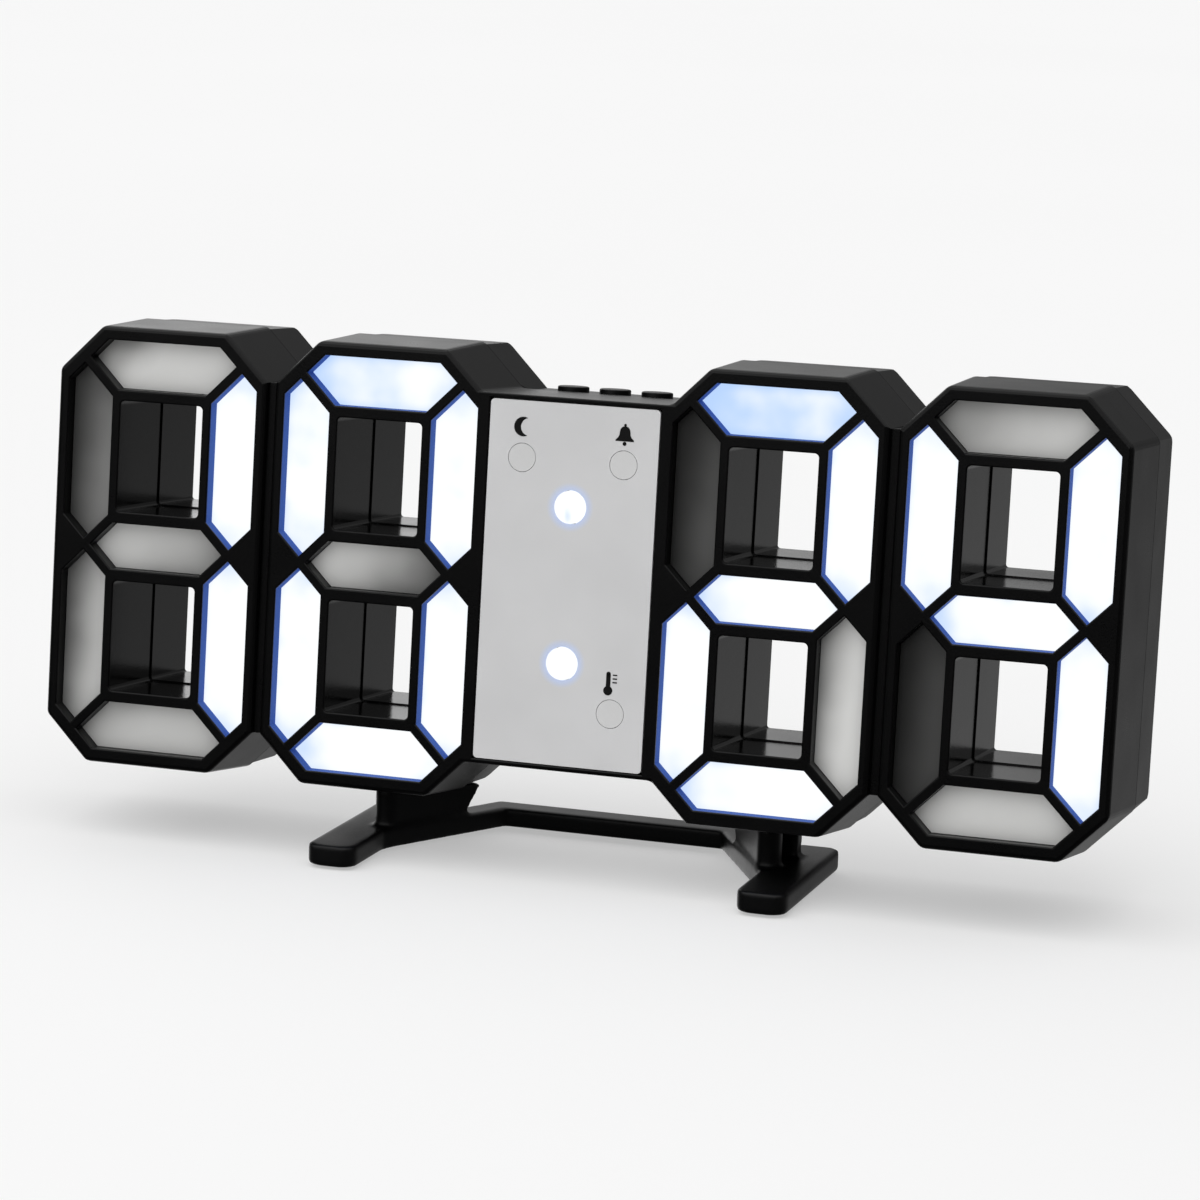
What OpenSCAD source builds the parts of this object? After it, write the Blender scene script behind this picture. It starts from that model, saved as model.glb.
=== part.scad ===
// Three-dimensional LED clock: four open digits, a centre block and a plug-in stand.
// Millimetres. The floor is z = 0, the front faces -Y, +X is the viewer's right.
// The body is drawn upright from its front face, then leaned back by one module.

/* [Digits] */
// width of one digit on the front face
digit_w = 44.1; // [43:0.1:45]
// height of one digit on the front face
digit_h = 86.6; // [82:0.2:94]
// leg of the 45 degree corners of a digit
corner_cut = 8.9; // [8:0.1:10]
// distance between the two digits of a pair
digit_pitch = 45.9; // [45.5:0.1:47]
// distance of the inner digits from the middle
inner_x = 39.6; // [38.5:0.1:42]
// frame between the segments and the digit's sides
rim_side = 2.1; // [2:0.1:2.8]
// frame between the segments and the digit's top
rim_top = 2.7; // [2.4:0.1:3.4]
// width of a segment
seg_w = 9.4; // [8.8:0.1:10]
// bar between two neighbouring segments
bar_w = 1.85; // [1.7:0.05:2.2]
// frame between a segment and the window beside it
window_rim = 1.8; // [1.7:0.1:2.2]
// frame between a segment and the window above or below it
window_rim_z = 2.2; // [2:0.1:2.6]
// radius of the window's corners
window_r = 0.9; // [0.5:0.1:1.5]
// how far the outer waist notch reaches up a side segment
waist_h = 5.6; // [5:0.1:6.5]

/* [Body] */
// depth of the front housing
front_d = 20; // [19.2:0.1:22]
// depth of the rear cover
rear_d = 17; // [16:0.1:18.5]
// growth of each outer wall from the front face to the seam
draft = 1; // [0.5:0.1:1.2]
// step of the rear cover inside the front housing's outline
seam_step = 0.5; // [0.3:0.1:0.8]
// bevel on the rear edge
rear_bevel = 2; // [1:0.1:2.5]
// thickness of the outer walls behind the light wells
wall = 2; // [1.6:0.1:2.4]
// thickness of the rear wall
back_wall = 2; // [1.6:0.1:2.4]
// thickness of the window tunnels behind the board
tunnel_wall = 1.2; // [1:0.1:1.3]
// step of the window tunnel at the seam
tunnel_step = 0.3; // [0.2:0.1:0.8]
// height of the block between the digits
block_h = 71.6; // [68:0.2:74]
// lean of the body to the rear
lean = 5; // [2:0.5:8]

/* [Lenses] */
// recess of the lenses below the front face
lens_recess = 2.8; // [2.2:0.1:3.4]
// thickness of the lens in its opening
lens_core = 1.3; // [1:0.1:1.8]
// thickness of the lens flange
lens_flange = 1.2; // [0.8:0.1:1.6]
// ledge that holds the flange
lens_ledge = 0.45; // [0.35:0.05:0.5]
// gap round a lens
lens_gap = 0.1; // [0.05:0.01:0.12]

/* [Centre panel] */
// rim between the panel and the block's sides
panel_rim_x = 0.55; // [0.4:0.05:1.5]
// rim between the panel and the block's top and bottom
panel_rim_z = 1.1; // [0.9:0.1:2.8]
// thickness of the panel
panel_t = 1.3; // [1:0.1:1.6]
// gap round the panel
panel_gap = 0.15; // [0.1:0.01:0.2]
// diameter of the colon lenses
dot_d = 6.3; // [5.6:0.1:7]
// distance of each colon lens from the middle
dot_z = 15; // [12:0.5:17]
// diameter of the indicator lenses
ind_d = 5.4; // [4.8:0.1:6]
// sideways distance of the indicator lenses
ind_x = 10.2; // [9.5:0.1:10.8]
// upright distance of the indicator lenses
ind_z = 23.8; // [23:0.1:25]
// wall of the round light tubes
tube_wall = 1.1; // [0.9:0.1:1.4]

/* [Board] */
// depth of the light wells, where the board lies
board_y = 17; // [16.2:0.1:17.4]
// thickness of the LED board
board_t = 1.6; // [1.2:0.1:1.8]
// gap round the board
board_gap = 0.4; // [0.3:0.05:0.6]
// width of one LED
led_w = 3.5; // [3:0.1:4]
// thickness of one LED
led_t = 1.9; // [1.2:0.1:2.2]
// shank diameter of the housing screws
screw_d = 2.2; // [2:0.1:2.4]
// head diameter of the housing screws
screw_head = 4; // [3.6:0.1:4.2]
// length of the housing screws under the head
screw_l = 18; // [16:0.5:19]
// shank diameter of the board screws
bscrew_d = 2; // [1.8:0.1:2.2]
// length of the board screws under the board
bscrew_l = 5; // [4:0.1:6]
// head diameter of the board screws
bscrew_head = 3.8; // [3.4:0.1:4.2]
// head height of the board screws
bscrew_cap = 1.4; // [1:0.1:1.6]
// running gap of a screw in its hole
screw_gap = 0.05; // [0.03:0.01:0.1]

/* [Rear fittings] */
// diameter of the coin cell
cell_d = 20; // [18:0.5:20]
// thickness of the coin cell
cell_t = 3.2; // [2.5:0.1:3.2]
// width of the cell door
door_w = 27; // [26:0.5:28]
// height of the cell door
door_h = 25; // [24:0.5:26]
// height of the cell door's middle
door_z = 9; // [8:0.5:10]
// gap round the cell door
door_gap = 0.3; // [0.2:0.05:0.4]
// width of the power socket
socket_w = 7.7; // [7:0.1:8.4]
// height of the power socket
socket_h = 4; // [3.4:0.1:4.6]
// height of the power socket's middle
socket_z = -14; // [-16:0.5:-13]
// width of the head hole of the hanging keyholes
key_d = 7.4; // [6.6:0.2:7.8]
// slot of the hanging keyholes
key_slot = 3.6; // [3:0.1:4.2]
// depth of the closed pockets behind the keyholes
key_deep = 8.6; // [8.4:0.1:9]

/* [Buttons] */
// diameter of the buttons
button_d = 6.2; // [5.6:0.1:6.4]
// how far the buttons stand out
button_out = 1.4; // [1:0.1:1.8]
// distance between the buttons
button_pitch = 8.6; // [8.4:0.1:9.4]
// distance of the buttons' row behind the seam
button_back = 4.2; // [4:0.1:4.6]
// gap round a button
button_gap = 0.25; // [0.15:0.05:0.3]
// width of a key switch
switch_w = 6; // [5:0.1:6.2]
// travel of a button
button_travel = 0.7; // [0.4:0.1:0.8]

/* [Stand] */
// distance of each foot from the middle
foot_x = 43.5; // [40:0.5:46]
// width of a foot
foot_w = 10; // [9:0.2:11]
// length of a foot
foot_l = 41; // [38:0.5:46]
// height of a foot
foot_h = 4.2; // [3.4:0.1:5]
// radius of the foot's corners
foot_r = 3; // [2:0.1:4]
// front end of the feet, measured from the body's middle
foot_front = -11; // [-14:0.5:-9]
// front edge of the cross bar, measured the same way
bar_front = 33.4; // [32:0.2:36]
// depth of the cross bar
bar_d = 6; // [5:0.2:7]
// height of the cross bar and the arms
bar_h = 3.9; // [3:0.1:4.4]
// half length of the cross bar
bar_half = 24.5; // [22:0.5:27]
// free height of the body's lower edge over the floor
clear_h = 13.8; // [12:0.2:18]
// thickness of the webs
web_t = 5; // [4:0.1:5.6]
// width of a tongue
tongue_w = 7; // [5:0.2:9]
// thickness of a tongue
tongue_t = 3.6; // [3:0.1:4]
// length of a tongue in its socket
tongue_l = 7; // [5:0.5:8]
// gap round a tongue
tongue_gap = 0.25; // [0.15:0.05:0.3]
// diameter of the foot pads
pad_d = 6.4; // [5:0.2:7.5]
// thickness of the foot pads
pad_t = 1; // [0.8:0.1:1.4]

/* [Hidden] */
$fn = 48;

black = [0.05, 0.05, 0.055];
milk = [0.86, 0.87, 0.88];
grey = [0.8, 0.8, 0.8];
green = [0.05, 0.25, 0.15];
steel = [0.7, 0.7, 0.72];

body_d = front_d + rear_d;
r2 = sqrt(2);
digit_xs = [-inner_x - digit_pitch, -inner_x, inner_x, inner_x + digit_pitch];

// lines that bound the segments, in a digit's own coordinates
seg_xo = digit_w / 2 - rim_side;
seg_xi = seg_xo - seg_w;
seg_zo = digit_h / 2 - rim_top;
seg_zi = seg_zo - seg_w - 0.2;
mid_h = seg_w / 2 - 0.15;
win_x = seg_xi - window_rim;
win_zt = seg_zi - window_rim_z;
win_zb = mid_h + window_rim_z + 0.1;
// the segments' outer corner runs along the digit's own corner
cut_sum = digit_w / 2 + digit_h / 2 - corner_cut - 4;
mitre_top = (seg_zi - seg_xi + win_zt - win_x) / 2;
mitre_low = (seg_xi + mid_h + win_x + win_zb) / 2;
waist_diff = seg_xo - waist_h;

// where the body sits over the floor
half_h = digit_h / 2 + draft;
body_z = clear_h + half_h * cos(lean);
rear_reach = max(bar_front + bar_d, body_d * cos(lean) + (half_h - seam_step - rear_bevel) * sin(lean));
body_y = -(foot_front + rear_reach) / 2;

lens_seat = lens_recess + lens_core;
block_w = 2 * inner_x - digit_w;
block_top = block_h / 2;
panel_w = block_w - 2 * panel_rim_x;
panel_h = block_h - 2 * panel_rim_z;
post_x = block_w / 2 - 5.05;
post_z = block_top - 4.8;
buzzer_z = 9.8 - block_top;
sensor_z = 3.8 - block_top;
key_floor = body_d - key_deep - 1.2;
key_room = 2 * win_zb - tunnel_wall;
key_half = key_d / 2;
key_cut = key_half - 0.8;
key_head = [[key_half, key_cut], [key_cut, key_half], [-key_cut, key_half], [-key_half, key_cut],
  [-key_half, -key_cut], [-key_cut, -key_half], [key_cut, -key_half], [key_half, -key_cut]];
cell_base = body_d - back_wall - 3 - cell_t - board_y - board_t;
button_y = front_d + button_back;
recess_d = panel_t + 0.1;
shelf_y = 3.6;
dot_tube = dot_d + 2;
ind_tube = ind_d + 2;
post_d = 5;
screw_x = seg_xo - 0.6;
boss_d = screw_d + 2.4;
head_y = body_d - 3.4;
ceiling_z = block_top - seam_step - wall;
flange_h = 0.8;
switch_top = ceiling_z - flange_h - 1.3;
switch_h = 3.5;
plunger_d = 3.3;
plunger_out = 0.9;
plunger_l = 2.2;
keyboard_t = 1.2;
tongue_y = front_d + 3.6;
tongue_x = foot_x - 4.2;
pad_out = 0.5;
foot_z = pad_out;
bar_z = foot_z + foot_h - bar_h;
// run of a stand arm: inwards, backwards, and its length
arm_dx = foot_x - 3 - bar_half;
arm_dy = bar_front + bar_d / 2 - 8;
arm_l = sqrt(arm_dx * arm_dx + arm_dy * arm_dy);
web_from = web_t / 2;

// basic tools

// extrudes a drawing in x and z from depth y0 to depth y1
module slab(y0, y1) {
  translate([0, y1, 0])
    rotate([90, 0, 0])
      linear_extrude(height = y1 - y0)
        children();
}

// puts the upright body in its leaning place
module leaned() {
  translate([0, body_y, body_z])
    rotate([-lean, 0, 0])
      children();
}

function oct(w, h, c) = [[w / 2 - c, h / 2], [w / 2, h / 2 - c], [w / 2, c - h / 2], [w / 2 - c, -h / 2],
  [c - w / 2, -h / 2], [-w / 2, c - h / 2], [-w / 2, h / 2 - c], [c - w / 2, h / 2]];

// a digit's outline, grown by e on every side
module digit_2d(e) {
  polygon(oct(digit_w + 2 * e, digit_h + 2 * e, corner_cut + e * (2 - r2)));
}

// cuts along the eight edges of a digit's outline grown by e; the profile is [depth, distance from that edge]
module edge_cuts(e, profile) {
  flat = digit_h / 2 + e;
  side = digit_w / 2 + e;
  slant = (digit_w / 2 + digit_h / 2 - corner_cut) / r2 + e;
  for (k = [[0, flat], [45, slant], [90, side], [135, slant], [180, flat], [225, slant], [270, side], [315, slant]])
    rotate([0, k[0], 0])
      translate([-digit_h, 0, k[1]])
        rotate([90, 0, 90])
          linear_extrude(height = 2 * digit_h)
            polygon(profile);
}

// a digit that grows from the front face to the seam
module front_digit() {
  g = draft / front_d;
  difference() {
    slab(0, front_d)
      square([digit_w + 2 * draft + 2, digit_h + 2 * draft + 2], center = true);
    edge_cuts(0, [[-1, -g], [front_d + 1, draft + g], [front_d + 1, 30], [-1, 30]]);
  }
}

// a digit of the cover, with its rear edge bevelled
module rear_digit() {
  difference() {
    slab(front_d, body_d)
      digit_2d(draft - seam_step);
    edge_cuts(draft - seam_step, [[body_d - rear_bevel, 0], [body_d + 1, -rear_bevel - 1], [body_d + 1, 5], [body_d - rear_bevel, 5]]);
  }
}

module round_rect(w, h, r) {
  square([w - 2 * r, h], center = true);
  square([w, h - 2 * r], center = true);
  for (x = [-1, 1])
    for (z = [-1, 1])
      translate([x * (w / 2 - r), z * (h / 2 - r)])
        circle(r = r);
}

// the upper and lower window of a digit, grown by e
module windows_2d(e) {
  for (s = [-1, 1])
    translate([0, s * (win_zt + win_zb) / 2])
      round_rect(2 * win_x + 2 * e, win_zt - win_zb + 2 * e, max(window_r + e, 0.2));
}

// segment outlines, grown by e
module seg_top_2d(e) {
  m = mitre_top + (bar_w / 2 - e) * r2;
  c = cut_sum + e * r2;
  o = seg_zo + e;
  i = seg_zi - e;
  polygon([[c - o, o], [(c - m) / 2, (c + m) / 2], [i - m, i], [m - i, i], [(m - c) / 2, (c + m) / 2], [o - c, o]]);
}

module seg_side_2d(e) {
  m = mitre_top - (bar_w / 2 - e) * r2;
  c = cut_sum + e * r2;
  o = seg_xo + e;
  i = seg_xi - e;
  w = waist_diff + e * r2;
  s = mitre_low + (bar_w / 2 - e) * r2;
  polygon([[(c - m) / 2, (c + m) / 2], [o, c - o], [o, o - w], [(s + w) / 2, (s - w) / 2], [i, s - i], [i, m + i]]);
}

module seg_mid_2d(e) {
  g = mitre_low - (bar_w / 2 - e) * r2;
  t = mid_h + e;
  polygon([[g - t, t], [g, 0], [g - t, -t], [t - g, -t], [-g, 0], [t - g, t]]);
}

// segments in the order top, upper right, lower right, bottom, lower left, upper left, middle
module seg_2d(k, e) {
  if (k == 0) seg_top_2d(e);
  if (k == 1) seg_side_2d(e);
  if (k == 2) mirror([0, 1]) seg_side_2d(e);
  if (k == 3) mirror([0, 1]) seg_top_2d(e);
  if (k == 4) mirror([1, 0]) mirror([0, 1]) seg_side_2d(e);
  if (k == 5) mirror([1, 0]) seg_side_2d(e);
  if (k == 6) seg_mid_2d(e);
}

module segs_2d(e) {
  for (k = [0:6])
    seg_2d(k, e);
}

// the room behind the light wells, where the board lies, shrunk by e
module room(y0, y1, e, pass_short = 0) {
  for (x = digit_xs)
    translate([x, 0, 0])
      slab(y0, y1)
        digit_2d(draft - wall - e);
  for (s = [-1, 1])
    translate([s * (inner_x + digit_pitch / 2), 0, 0])
      slab(y0, y1 - pass_short)
        square([digit_pitch / 2, 44 - 2 * e], center = true);
  slab(y0, y1)
    square([2 * inner_x - digit_w / 2, block_h - 2 * wall - 2 * e], center = true);
}

// the window tunnels of all digits, grown by e
module tunnels(y0, y1, e) {
  for (x = digit_xs)
    translate([x, 0, 0])
      slab(y0, y1)
        windows_2d(e);
}

// places of the housing screws: the solid corners at the digits' waists
module at_screws() {
  for (s = [-1, 1])
    for (x = [inner_x - screw_x, inner_x + screw_x, inner_x + digit_pitch + screw_x])
      translate([s * x, 0, 0])
        children();
}

module at_posts() {
  for (x = [-1, 1])
    for (z = [-1, 1])
      translate([x * post_x, 0, z * post_z])
        children();
}

module at_dots() {
  for (z = [-1, 1])
    translate([0, 0, z * dot_z])
      children();
}

module at_inds() {
  translate([-ind_x, 0, ind_z])
    children();
  translate([ind_x, 0, ind_z])
    children();
  translate([ind_x, 0, -ind_z])
    children();
}

// a cylinder along y
module rod(d, y0, y1) {
  slab(y0, y1)
    circle(d = d);
}

module at_buttons() {
  for (k = [-1:1])
    translate([k * button_pitch, button_y, 0])
      children();
}

// sub-parts

// the front moulding: drafted digits, light wells behind ledged openings, window tunnels
module front_housing() {
  color(black)
    leaned()
      difference() {
        union() {
          for (x = digit_xs)
            translate([x, 0, 0])
              front_digit();
          slab(0, front_d)
            square([block_w + 4, block_h], center = true);
          for (s = [-1, 1])
            translate([s * (inner_x + digit_pitch / 2), 0, 0])
              slab(1.5, front_d)
                square([5, digit_h - 2 * corner_cut], center = true);
        }
        for (x = digit_xs)
          translate([x, 0, 0]) {
            slab(-1, lens_seat + 0.01)
              segs_2d(0);
            slab(lens_seat, board_y + 0.01)
              segs_2d(lens_ledge);
          }
        tunnels(-1, front_d + 1, 0);
        // room behind the board plane, round the tunnels and bosses
        difference() {
          room(board_y, front_d + 1, 0);
          tunnels(board_y - 1, front_d, tunnel_wall);
          at_screws()
            rod(boss_d, board_y - 1, front_d);
        }
        at_screws()
          rod(screw_d + 2 * screw_gap, head_y - screw_l - 1, front_d + 1);
        // the block: panel recess, hollow with posts and light tubes
        slab(-1, recess_d)
          square([panel_w + 2 * panel_gap, panel_h + 2 * panel_gap], center = true);
        difference() {
          slab(shelf_y, board_y + 0.01)
            square([block_w - 2 * wall, block_h - 2 * wall], center = true);
          at_posts()
            rod(post_d, shelf_y - 1, board_y);
          at_dots()
            rod(dot_tube + 2 * tube_wall, shelf_y - 1, board_y);
          at_inds()
            rod(ind_tube + 2 * tube_wall, shelf_y - 1, board_y);
        }
        at_posts()
          rod(bscrew_d + 2 * screw_gap, shelf_y + 1.5, board_y + 1);
        at_dots() {
          rod(dot_d + 2 * lens_gap, 0, board_y);
          rod(dot_tube, shelf_y, board_y + 1);
        }
        at_inds() {
          rod(ind_d + 2 * lens_gap, 0, board_y);
          rod(ind_tube, shelf_y, board_y + 1);
        }
      }
}

// the stand's socket walls inside the cover
module tongue_walls() {
  for (s = [-1, 1])
    translate([s * tongue_x, tongue_y, -half_h + tongue_l / 2 + 1])
      cube([tongue_w + 3.4, tongue_t + 3.4, tongue_l + 2], center = true);
}

module tongue_holes(l) {
  for (s = [-1, 1])
    translate([s * tongue_x, tongue_y, -half_h + tongue_l - l / 2])
      cube([tongue_w + 2 * tongue_gap, tongue_t + 2 * tongue_gap, l], center = true);
}

// the rear moulding: bevelled back, tunnels, screw bosses, key holes, cell opening, tongue sockets
module rear_cover() {
  color(black)
    leaned()
      difference() {
        union() {
          for (x = digit_xs)
            translate([x, 0, 0])
              rear_digit();
          translate([-block_w / 2 - 4, 0, 0])
            rotate([90, 0, 90])
              linear_extrude(height = block_w + 8)
                polygon([[front_d, -block_top + seam_step], [body_d - rear_bevel, -block_top + seam_step],
                  [body_d, -block_top + seam_step + rear_bevel], [body_d, block_top - seam_step - rear_bevel],
                  [body_d - rear_bevel, block_top - seam_step], [front_d, block_top - seam_step]]);
          for (s = [-1, 1])
            translate([s * (inner_x + digit_pitch / 2), 0, 0])
              slab(front_d, body_d - rear_bevel)
                square([8, digit_h - 2 * corner_cut - 4], center = true);
        }
        // the room, round the tunnels, bosses and sockets
        difference() {
          room(front_d - 1, body_d - back_wall, seam_step, rear_bevel);
          tunnels(front_d, body_d, tunnel_wall);
          at_screws()
            rod(screw_head + 2.2, front_d, body_d);
          tongue_walls();
          // pockets that close the keyholes, between the window tubes
          for (s = [-1, 1])
            translate([s * inner_x, 0, 0]) {
              slab(key_floor, key_floor + 1.2)
                square([11.2, key_room], center = true);
              for (t = [-5.6, 5.6])
                translate([t, 0, 0])
                  slab(key_floor + 0.5, body_d - 1)
                    square([1.2, key_room - 0.2], center = true);
            }
          // rails that hold the key board
          for (s = [-1, 1])
            translate([s * (block_w / 2 - 0.6), (front_d + body_d) / 2, switch_top - switch_h - plunger_out - keyboard_t - 1.5])
              cube([5, rear_d, 3], center = true);
        }
        tunnels(front_d - 1, body_d + 1, -tunnel_step);
        at_screws() {
          rod(screw_d + 0.5, front_d - 1, body_d + 1);
          rod(screw_head + 0.5, head_y, body_d + 1);
        }
        tongue_holes(tongue_l + 6);
        // button holes
        at_buttons()
          translate([0, 0, block_top - wall - 1])
            cylinder(d = button_d + 2 * button_gap, h = wall + 4);
        // cell opening with a rebate for the door
        translate([0, 0, door_z]) {
          slab(body_d - back_wall - 1, body_d + 1)
            square([door_w - 3, door_h - 3], center = true);
          slab(body_d - 1.2, body_d + 1)
            square([door_w + 2 * door_gap, door_h + 2 * door_gap], center = true);
        }
        // power socket mouth
        translate([0, 0, socket_z])
          slab(body_d - back_wall - 1, body_d + 1)
            square([socket_w + 0.8, socket_h + 0.8], center = true);
        // buzzer slots
        for (k = [-2:2])
          translate([k * 3, 0, buzzer_z])
            slab(body_d - back_wall - 1, body_d + 1)
              square([1.4, 9], center = true);
        // hanging keyholes behind the inner digits' middle bars
        for (s = [-1, 1])
          translate([s * inner_x, 0, -1.6])
            slab(body_d - back_wall - 1, body_d + 1) {
              polygon(key_head);
              translate([0, 2.4])
                square([key_slot, 4.8], center = true);
              translate([0, 4.8])
                circle(d = key_slot);
            }
      }
}

// the light panel in the front of the block
module centre_panel() {
  color(grey)
    leaned()
      difference() {
        slab(0.1, recess_d)
          round_rect(panel_w, panel_h, 0.8);
        at_dots()
          rod(dot_d + 2 * lens_gap, -1, 3);
        at_inds()
          rod(ind_d + 2 * lens_gap, -1, 3);
      }
}

module colon_lenses() {
  color(milk)
    leaned()
      at_dots() {
        rod(dot_d, 0.1, shelf_y);
        rod(dot_tube - 2 * lens_gap, shelf_y, shelf_y + 1);
      }
}

module indicator_lenses() {
  color(grey)
    leaned()
      at_inds() {
        rod(ind_d, 0.12, shelf_y);
        rod(ind_tube - 2 * lens_gap, shelf_y, shelf_y + 1);
      }
}

// one segment lens of digit n: a core in the opening and a flange behind the ledge
module lens(n, k) {
  color(milk)
    leaned()
      translate([digit_xs[n - 1], 0, 0]) {
        slab(lens_recess, lens_seat)
          seg_2d(k, -lens_gap);
        slab(lens_seat, lens_seat + lens_flange)
          seg_2d(k, lens_ledge - lens_gap);
      }
}

module digit1_lens_top() { lens(1, 0); }
module digit1_lens_upper_right() { lens(1, 1); }
module digit1_lens_lower_right() { lens(1, 2); }
module digit1_lens_bottom() { lens(1, 3); }
module digit1_lens_lower_left() { lens(1, 4); }
module digit1_lens_upper_left() { lens(1, 5); }
module digit1_lens_middle() { lens(1, 6); }
module digit2_lens_top() { lens(2, 0); }
module digit2_lens_upper_right() { lens(2, 1); }
module digit2_lens_lower_right() { lens(2, 2); }
module digit2_lens_bottom() { lens(2, 3); }
module digit2_lens_lower_left() { lens(2, 4); }
module digit2_lens_upper_left() { lens(2, 5); }
module digit2_lens_middle() { lens(2, 6); }
module digit3_lens_top() { lens(3, 0); }
module digit3_lens_upper_right() { lens(3, 1); }
module digit3_lens_lower_right() { lens(3, 2); }
module digit3_lens_bottom() { lens(3, 3); }
module digit3_lens_lower_left() { lens(3, 4); }
module digit3_lens_upper_left() { lens(3, 5); }
module digit3_lens_middle() { lens(3, 6); }
module digit4_lens_top() { lens(4, 0); }
module digit4_lens_upper_right() { lens(4, 1); }
module digit4_lens_lower_right() { lens(4, 2); }
module digit4_lens_bottom() { lens(4, 3); }
module digit4_lens_lower_left() { lens(4, 4); }
module digit4_lens_upper_left() { lens(4, 5); }
module digit4_lens_middle() { lens(4, 6); }

// one board behind all digits, open at the windows and the screw bosses
module led_board() {
  color(green)
    leaned()
      difference() {
        room(board_y, board_y + board_t, board_gap);
        tunnels(board_y - 1, board_y + board_t + 1, tunnel_wall + board_gap);
        at_screws()
          rod(boss_d + 2 * board_gap, board_y - 1, board_y + board_t + 1);
        at_posts()
          rod(bscrew_d + 2 * screw_gap, board_y - 1, board_y + board_t + 1);
      }
}

// the middle of segment k, and its direction
function seg_mid(k) = k == 0 ? [0, (seg_zo + seg_zi) / 2] :
  k == 3 ? [0, -(seg_zo + seg_zi) / 2] :
  k == 6 ? [0, 0] :
  [(k == 1 || k == 2 ? 1 : -1) * (seg_xo + seg_xi) / 2, (k == 1 || k == 5 ? 1 : -1) * (win_zt + win_zb) / 2];

module leds() {
  color(milk)
    leaned() {
      for (x = digit_xs)
        for (k = [0:6])
          for (s = [-1, 1])
            translate([x + seg_mid(k)[0], 0, seg_mid(k)[1]])
              slab(board_y - led_t, board_y)
                translate(k == 0 || k == 3 || k == 6 ? [s * 5.5, 0] : [0, s * 7])
                  square([led_w, led_w - 0.7], center = true);
      at_dots()
        slab(board_y - led_t, board_y)
          square([led_w, led_w - 0.7], center = true);
      at_inds()
        slab(board_y - led_t, board_y)
          square([led_w, led_w - 0.7], center = true);
    }
}

module controller_chip() {
  color([0.1, 0.1, 0.1])
    leaned()
      translate([inner_x, 0, 0])
        slab(board_y + board_t, board_y + board_t + 1.6)
          square([14, 6], center = true);
}

module crystal() {
  color(steel)
    leaned()
      translate([-8, 0, -7])
        slab(board_y + board_t, board_y + board_t + 2)
          square([6, 2], center = true);
}

module buzzer() {
  color([0.08, 0.08, 0.08])
    leaned()
      translate([0, 0, buzzer_z])
        difference() {
          rod(9, board_y + board_t, board_y + board_t + 4.5);
          rod(2, board_y + board_t + 3, board_y + board_t + 6);
        }
}

module temperature_sensor() {
  color([0.2, 0.15, 0.1])
    leaned()
      translate([6.5, 0, sensor_z])
        rod(2.4, board_y + board_t, board_y + board_t + 3);
}

// an upright socket on the board, its mouth behind the rear wall
module power_socket() {
  color(steel)
    leaned()
      translate([0, 0, socket_z])
        difference() {
          slab(board_y + board_t, body_d - 0.6)
            square([socket_w, socket_h], center = true);
          slab(body_d - 6, body_d)
            square([socket_w - 0.8, socket_h - 0.8], center = true);
        }
}

// the cup that holds the coin cell on the board
module cell_holder() {
  color([0.1, 0.1, 0.1])
    leaned()
      translate([0, 0, door_z])
        difference() {
          slab(board_y + board_t, board_y + board_t + cell_base + cell_t + 0.6)
            square([cell_d + 2.4, cell_d + 1.8], center = true);
          rod(cell_d + 0.6, board_y + board_t + cell_base, body_d);
          slab(board_y + board_t + cell_base, body_d)
            square([cell_d + 6, 6], center = true);
        }
}

module coin_cell() {
  color(steel)
    leaned()
      translate([0, 0, door_z]) {
        rod(cell_d, board_y + board_t + cell_base, board_y + board_t + cell_base + cell_t - 0.5);
        rod(cell_d - 2.5, board_y + board_t + cell_base, board_y + board_t + cell_base + cell_t);
      }
}

// the door lies in its rebate, with a plug that centres it and a finger notch
module cell_door() {
  color(black)
    leaned()
      translate([0, 0, door_z])
        difference() {
          union() {
            slab(body_d - 1.2, body_d)
              square([door_w, door_h], center = true);
            slab(body_d - back_wall - 0.8, body_d - 1.2)
              square([door_w - 3 - 2 * door_gap, door_h - 3 - 2 * door_gap], center = true);
          }
          slab(body_d - back_wall - 2, body_d - 2)
            square([door_w - 6, door_h - 6], center = true);
          translate([0, body_d, door_h / 2 - 3])
            rotate([0, 90, 0])
              cylinder(d = 1.2, h = 10, center = true);
        }
}

// a small level board under the buttons
module key_board() {
  color(green)
    leaned()
      translate([0, (front_d + body_d - back_wall) / 2, switch_top - switch_h - plunger_out - keyboard_t / 2])
        cube([block_w - 2, rear_d - back_wall - 0.6, keyboard_t], center = true);
}

module key_switches() {
  color([0.1, 0.1, 0.1])
    leaned()
      at_buttons()
        translate([0, 0, switch_top - switch_h - plunger_out])
          difference() {
            translate([-switch_w / 2, -switch_w / 2, 0])
              cube([switch_w, switch_w, switch_h]);
            translate([0, 0, switch_h + plunger_out - plunger_l - button_travel - 0.3])
              cylinder(d = plunger_d + 0.2, h = switch_h);
          }
}

module key_plunger(k) {
  color([0.15, 0.15, 0.15])
    leaned()
      translate([k * button_pitch, button_y, switch_top - plunger_l])
        cylinder(d = plunger_d, h = plunger_l);
}

module key_plunger_left() { key_plunger(-1); }
module key_plunger_middle() { key_plunger(0); }
module key_plunger_right() { key_plunger(1); }

// a cap with a flange under the wall and a stem on the switch's plunger
module button(k) {
  color(black)
    leaned()
      translate([k * button_pitch, button_y, 0]) {
        translate([0, 0, ceiling_z - flange_h - 0.1])
          cylinder(d = button_d, h = wall + flange_h + 0.1 + button_out);
        translate([0, 0, ceiling_z - flange_h - 0.1])
          cylinder(d = button_d + 1.2, h = flange_h);
        translate([0, 0, switch_top])
          cylinder(d = 3, h = 2);
      }
}

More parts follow.
